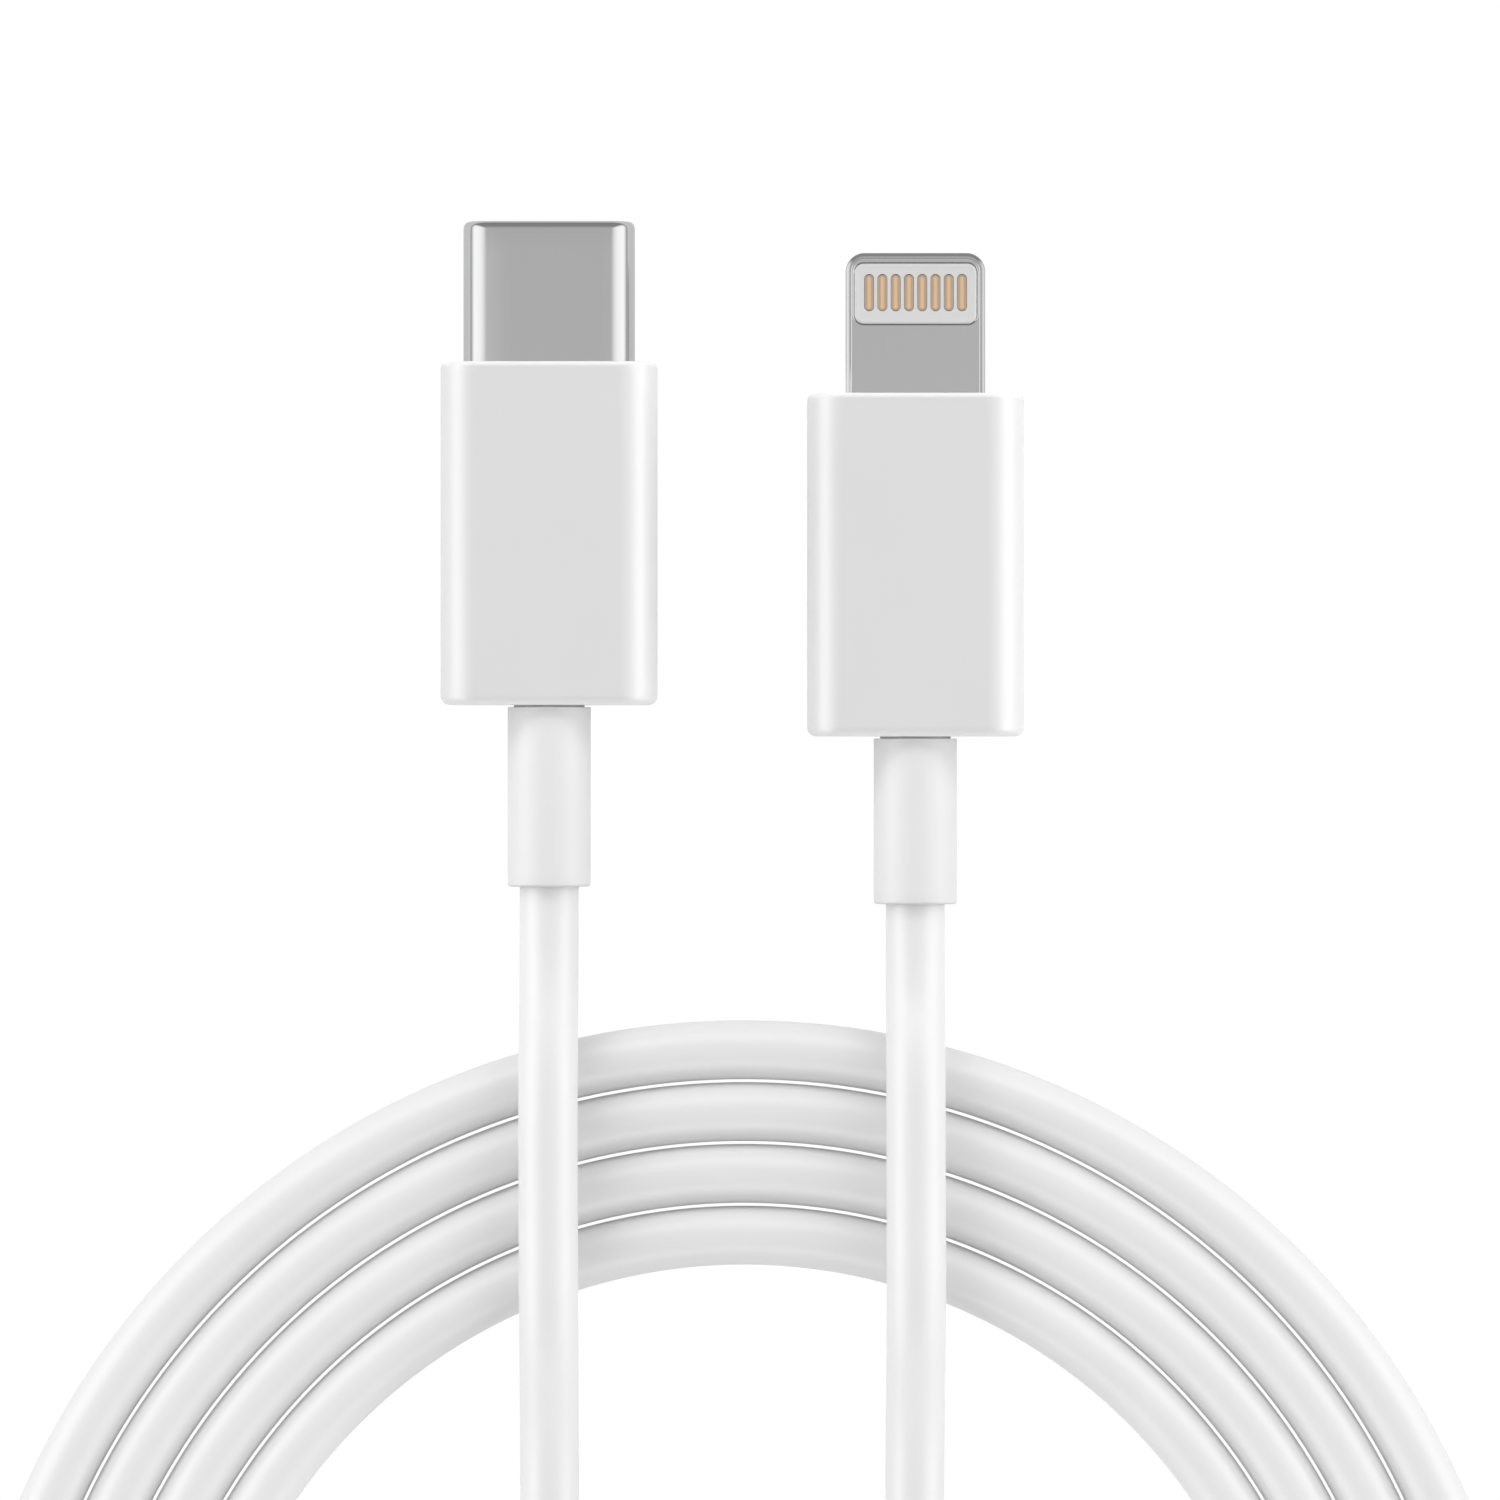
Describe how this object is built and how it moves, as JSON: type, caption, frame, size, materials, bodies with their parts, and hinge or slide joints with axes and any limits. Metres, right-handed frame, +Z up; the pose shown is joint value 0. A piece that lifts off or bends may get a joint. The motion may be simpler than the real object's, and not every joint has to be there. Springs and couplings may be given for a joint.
{
  "type": "charging cable",
  "caption": "Thin white charging cable laid in a neat flat coil, with a type C plug at one end and a flat plug with a steel tab and gold contacts at the other.",
  "frame": {"origin": "on the table under the middle of the two plugs, which lie side by side", "axes": "+X from the type C plug to the tab plug, +Y the way both plugs point, +Z up from the table"},
  "size_m": [0.076, 0.1144, 0.0063],
  "materials": {
    "housing_white": "smooth satin moulded white",
    "strain_relief_white": "soft satin moulded white",
    "cord_jacket": "soft satin white jacket",
    "shell_steel": "fine satin drawn steel",
    "tab_steel": "fine satin machined steel",
    "spring_steel": "bright rolled strip",
    "shield_steel": "drawn tin-plated strip",
    "black_insulator": "fine matt",
    "carrier_grey": "fine matt light grey",
    "contact_gold": "gold plated, satin",
    "board_green": "solder-resist lacquer",
    "chip_black": "moulded, matt",
    "inner_plastic": "natural, slightly cloudy",
    "braid_copper": "tinned copper weave",
    "wire_red": "smooth",
    "wire_white": "smooth",
    "wire_green": "smooth",
    "wire_black": "smooth",
    "solder": "bright solder"
  },
  "bodies": {
    "cable": {"usb_c_shell": "shell_steel", "usb_c_insulator": "black_insulator", "usb_c_contact_tails": "contact_gold", "usb_c_latch_plate": "spring_steel", "usb_c_upper_ground_spring": "spring_steel", "usb_c_lower_ground_spring": "spring_steel", "usb_c_circuit_board": "board_green", "usb_c_board_parts": "chip_black", "usb_c_upper_shield": "shield_steel", "usb_c_lower_shield": "shield_steel", "usb_c_crimp_ferrule": "shield_steel", "usb_c_braid_end": "braid_copper", "usb_c_jacket_end": "cord_jacket", "usb_c_inner_mould": "inner_plastic", "usb_c_housing": "housing_white", "usb_c_strain_relief": "strain_relief_white", "usb_c_red_wire": "wire_red", "usb_c_white_wire": "wire_white", "usb_c_green_wire": "wire_green", "usb_c_black_wire": "wire_black", "usb_c_solder_joints": "solder", "tab_body": "tab_steel", "tab_contact_carrier": "carrier_grey", "tab_upper_contacts": "contact_gold", "tab_lower_contacts": "contact_gold", "tab_circuit_board": "board_green", "tab_control_chip": "chip_black", "tab_board_parts": "chip_black", "tab_upper_shield": "shield_steel", "tab_lower_shield": "shield_steel", "tab_crimp_ferrule": "shield_steel", "tab_braid_end": "braid_copper", "tab_jacket_end": "cord_jacket", "tab_inner_mould": "inner_plastic", "tab_housing": "housing_white", "tab_strain_relief": "strain_relief_white", "tab_red_wire": "wire_red", "tab_white_wire": "wire_white", "tab_green_wire": "wire_green", "tab_black_wire": "wire_black", "tab_solder_joints": "solder", "usb_side_lead": "cord_jacket", "tab_side_lead": "cord_jacket", "cord_coil": "cord_jacket"},
    "upper_contact_row": {"usb_c_upper_contacts": "contact_gold"},
    "lower_contact_row": {"usb_c_lower_contacts": "contact_gold"},
    "left_latch_arm": {"usb_c_left_latch_arm": "spring_steel"},
    "right_latch_arm": {"usb_c_right_latch_arm": "spring_steel"}
  },
  "joints": [
    {"name": "upper_contact_flex", "type": "hinge", "parent": "cable", "child": "upper_contact_row", "pos_m": [-0.0088, 0.0107, 0.00308], "axis": [1, 0, 0], "range_deg": [0, 2.4], "stiffness_Nm_per_rad": 0.02},
    {"name": "lower_contact_flex", "type": "hinge", "parent": "cable", "child": "lower_contact_row", "pos_m": [-0.0088, 0.0107, 0.00212], "axis": [-1, 0, 0], "range_deg": [0, 2.4], "stiffness_Nm_per_rad": 0.02},
    {"name": "left_latch_flex", "type": "hinge", "parent": "cable", "child": "left_latch_arm", "pos_m": [-0.01208, 0.0099, 0.0026], "axis": [0, 0, 1], "range_deg": [0, 3.4], "stiffness_Nm_per_rad": 0.05},
    {"name": "right_latch_flex", "type": "hinge", "parent": "cable", "child": "right_latch_arm", "pos_m": [-0.00553, 0.0099, 0.0026], "axis": [0, 0, -1], "range_deg": [0, 3.4], "stiffness_Nm_per_rad": 0.05}
  ]
}
